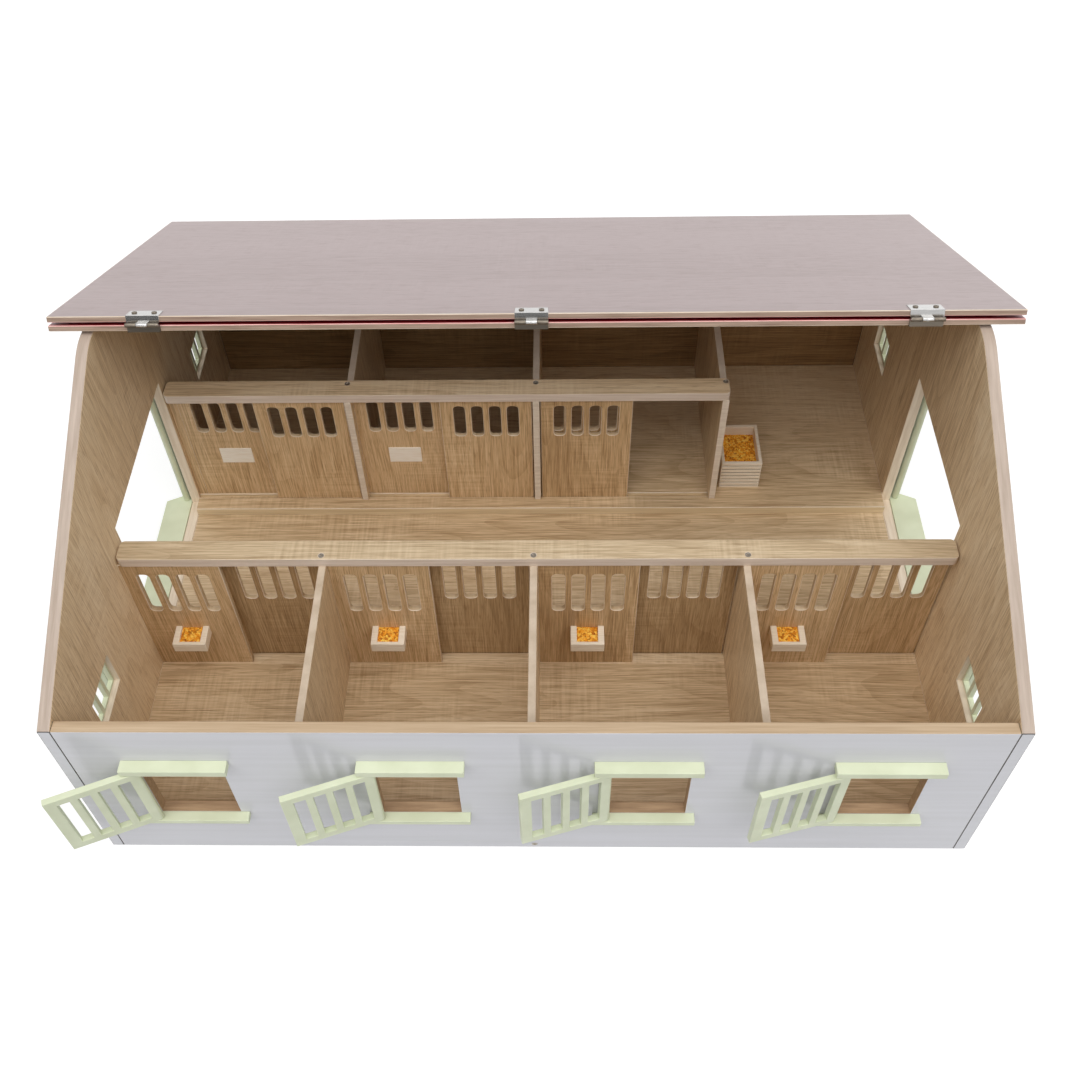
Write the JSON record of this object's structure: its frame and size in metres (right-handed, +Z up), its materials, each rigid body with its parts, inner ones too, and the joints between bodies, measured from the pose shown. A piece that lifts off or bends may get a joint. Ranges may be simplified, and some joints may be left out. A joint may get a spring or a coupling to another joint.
{
  "type": "toy barn",
  "caption": "Wooden toy stable with a folding roof, barred window shutters, gable gates and sliding stall doors over a row of stalls on each side of an aisle.",
  "frame": {"origin": "middle of the underside that the barn rests on, under the ridge", "axes": "+Z up, +X along the ridge towards the open store, -Y out of the front wall with its windows"},
  "size_m": [0.73, 0.6056, 0.3169],
  "materials": {
    "shell_board": "light grey painted board outside, oak decor inside",
    "oak_board": "oak decor board, satin, visible grain",
    "roof_board": "greyish oak decor on the inner face, deep red outer face",
    "green_trim": "pale green satin paint on wood",
    "birch": "plain pale birch",
    "feed": "orange granules",
    "nickel": "nickel plated pressed steel",
    "screw_steel": "dark plated steel"
  },
  "bodies": {
    "house": {"base_board": "oak_board", "raised_floor": "oak_board", "gable_left": "shell_board", "gable_right": "shell_board", "front_wall": "shell_board", "back_wall": "shell_board", "front_partition_1": "oak_board", "front_partition_2": "oak_board", "front_partition_3": "oak_board", "back_partition_1": "oak_board", "back_partition_2": "oak_board", "back_partition_3": "oak_board", "front_beam": "oak_board", "back_beam": "oak_board", "end_post": "oak_board", "front_screen_1": "oak_board", "front_screen_2": "oak_board", "front_screen_3": "oak_board", "front_screen_4": "oak_board", "back_screen_1": "oak_board", "back_screen_2": "oak_board", "back_screen_3": "oak_board", "feed_troughs": "birch", "feed_crate": "birch", "feed_portions": "feed", "name_plates": "birch", "window_heads": "green_trim", "window_sills": "green_trim", "shutter_pins": "screw_steel", "gate_sill_left": "green_trim", "gate_sill_right": "green_trim", "gate_head_left": "green_trim", "gate_head_right": "green_trim", "gate_pins": "screw_steel", "window_grilles_left": "green_trim", "window_grilles_right": "green_trim", "roof_back_panel": "roof_board", "hinge_leaves_back": "nickel", "hinge_pins": "nickel", "hinge_screws_back": "screw_steel", "wood_screws": "screw_steel"},
    "roof_front": {"roof_front_panel": "roof_board", "hinge_leaves_front": "nickel", "hinge_screws_front": "screw_steel"},
    "shutter_1": {"shutter_1": "green_trim"},
    "shutter_2": {"shutter_2": "green_trim"},
    "shutter_3": {"shutter_3": "green_trim"},
    "shutter_4": {"shutter_4": "green_trim"},
    "gate_leaf_left_front": {"gate_leaf_left_front": "green_trim"},
    "gate_leaf_left_rear": {"gate_leaf_left_rear": "green_trim"},
    "gate_leaf_right_front": {"gate_leaf_right_front": "green_trim"},
    "gate_leaf_right_rear": {"gate_leaf_right_rear": "green_trim"},
    "front_door_1": {"front_door_1": "oak_board"},
    "front_door_2": {"front_door_2": "oak_board"},
    "front_door_3": {"front_door_3": "oak_board"},
    "front_door_4": {"front_door_4": "oak_board"},
    "back_door_1": {"back_door_1": "oak_board"},
    "back_door_2": {"back_door_2": "oak_board"},
    "back_door_3": {"back_door_3": "oak_board"}
  },
  "joints": [
    {"name": "roof_fold", "type": "hinge", "parent": "house", "child": "roof_front", "pos_m": [0, 0, 0.31231], "axis": [1, 0, 0], "range_deg": [0, 228.95]},
    {"name": "shutter_1_swing", "type": "hinge", "parent": "house", "child": "shutter_1", "pos_m": [-0.2835, -0.275, 0.1], "axis": [0, 0, -1], "range_deg": [-158, 22]},
    {"name": "shutter_2_swing", "type": "hinge", "parent": "house", "child": "shutter_2", "pos_m": [-0.1145, -0.275, 0.1], "axis": [0, 0, -1], "range_deg": [-161, 19]},
    {"name": "shutter_3_swing", "type": "hinge", "parent": "house", "child": "shutter_3", "pos_m": [0.0545, -0.275, 0.1], "axis": [0, 0, -1], "range_deg": [-163.5, 16.5]},
    {"name": "shutter_4_swing", "type": "hinge", "parent": "house", "child": "shutter_4", "pos_m": [0.2235, -0.275, 0.1], "axis": [0, 0, -1], "range_deg": [-165, 15]},
    {"name": "gate_left_front_swing", "type": "hinge", "parent": "house", "child": "gate_leaf_left_front", "pos_m": [-0.34525, -0.08525, 0.094], "axis": [0, 0, -1], "range_deg": [0, 180]},
    {"name": "gate_left_rear_swing", "type": "hinge", "parent": "house", "child": "gate_leaf_left_rear", "pos_m": [-0.34525, 0.08525, 0.094], "axis": [0, 0, 1], "range_deg": [0, 180]},
    {"name": "gate_right_front_swing", "type": "hinge", "parent": "house", "child": "gate_leaf_right_front", "pos_m": [0.34525, -0.08525, 0.094], "axis": [0, 0, 1], "range_deg": [0, 180]},
    {"name": "gate_right_rear_swing", "type": "hinge", "parent": "house", "child": "gate_leaf_right_rear", "pos_m": [0.34525, 0.08525, 0.094], "axis": [0, 0, -1], "range_deg": [0, 180]},
    {"name": "front_door_1_slide", "type": "slide", "parent": "house", "child": "front_door_1", "axis": [-1, 0, 0], "range_m": [0, 0.077]},
    {"name": "front_door_2_slide", "type": "slide", "parent": "house", "child": "front_door_2", "axis": [-1, 0, 0], "range_m": [0, 0.077]},
    {"name": "front_door_3_slide", "type": "slide", "parent": "house", "child": "front_door_3", "axis": [-1, 0, 0], "range_m": [0, 0.077]},
    {"name": "front_door_4_slide", "type": "slide", "parent": "house", "child": "front_door_4", "axis": [-1, 0, 0], "range_m": [0, 0.077]},
    {"name": "back_door_1_slide", "type": "slide", "parent": "house", "child": "back_door_1", "axis": [-1, 0, 0], "range_m": [0, 0.077]},
    {"name": "back_door_2_slide", "type": "slide", "parent": "house", "child": "back_door_2", "axis": [-1, 0, 0], "range_m": [0, 0.077]},
    {"name": "back_door_3_slide", "type": "slide", "parent": "house", "child": "back_door_3", "axis": [1, 0, 0], "range_m": [0, 0.077]}
  ]
}
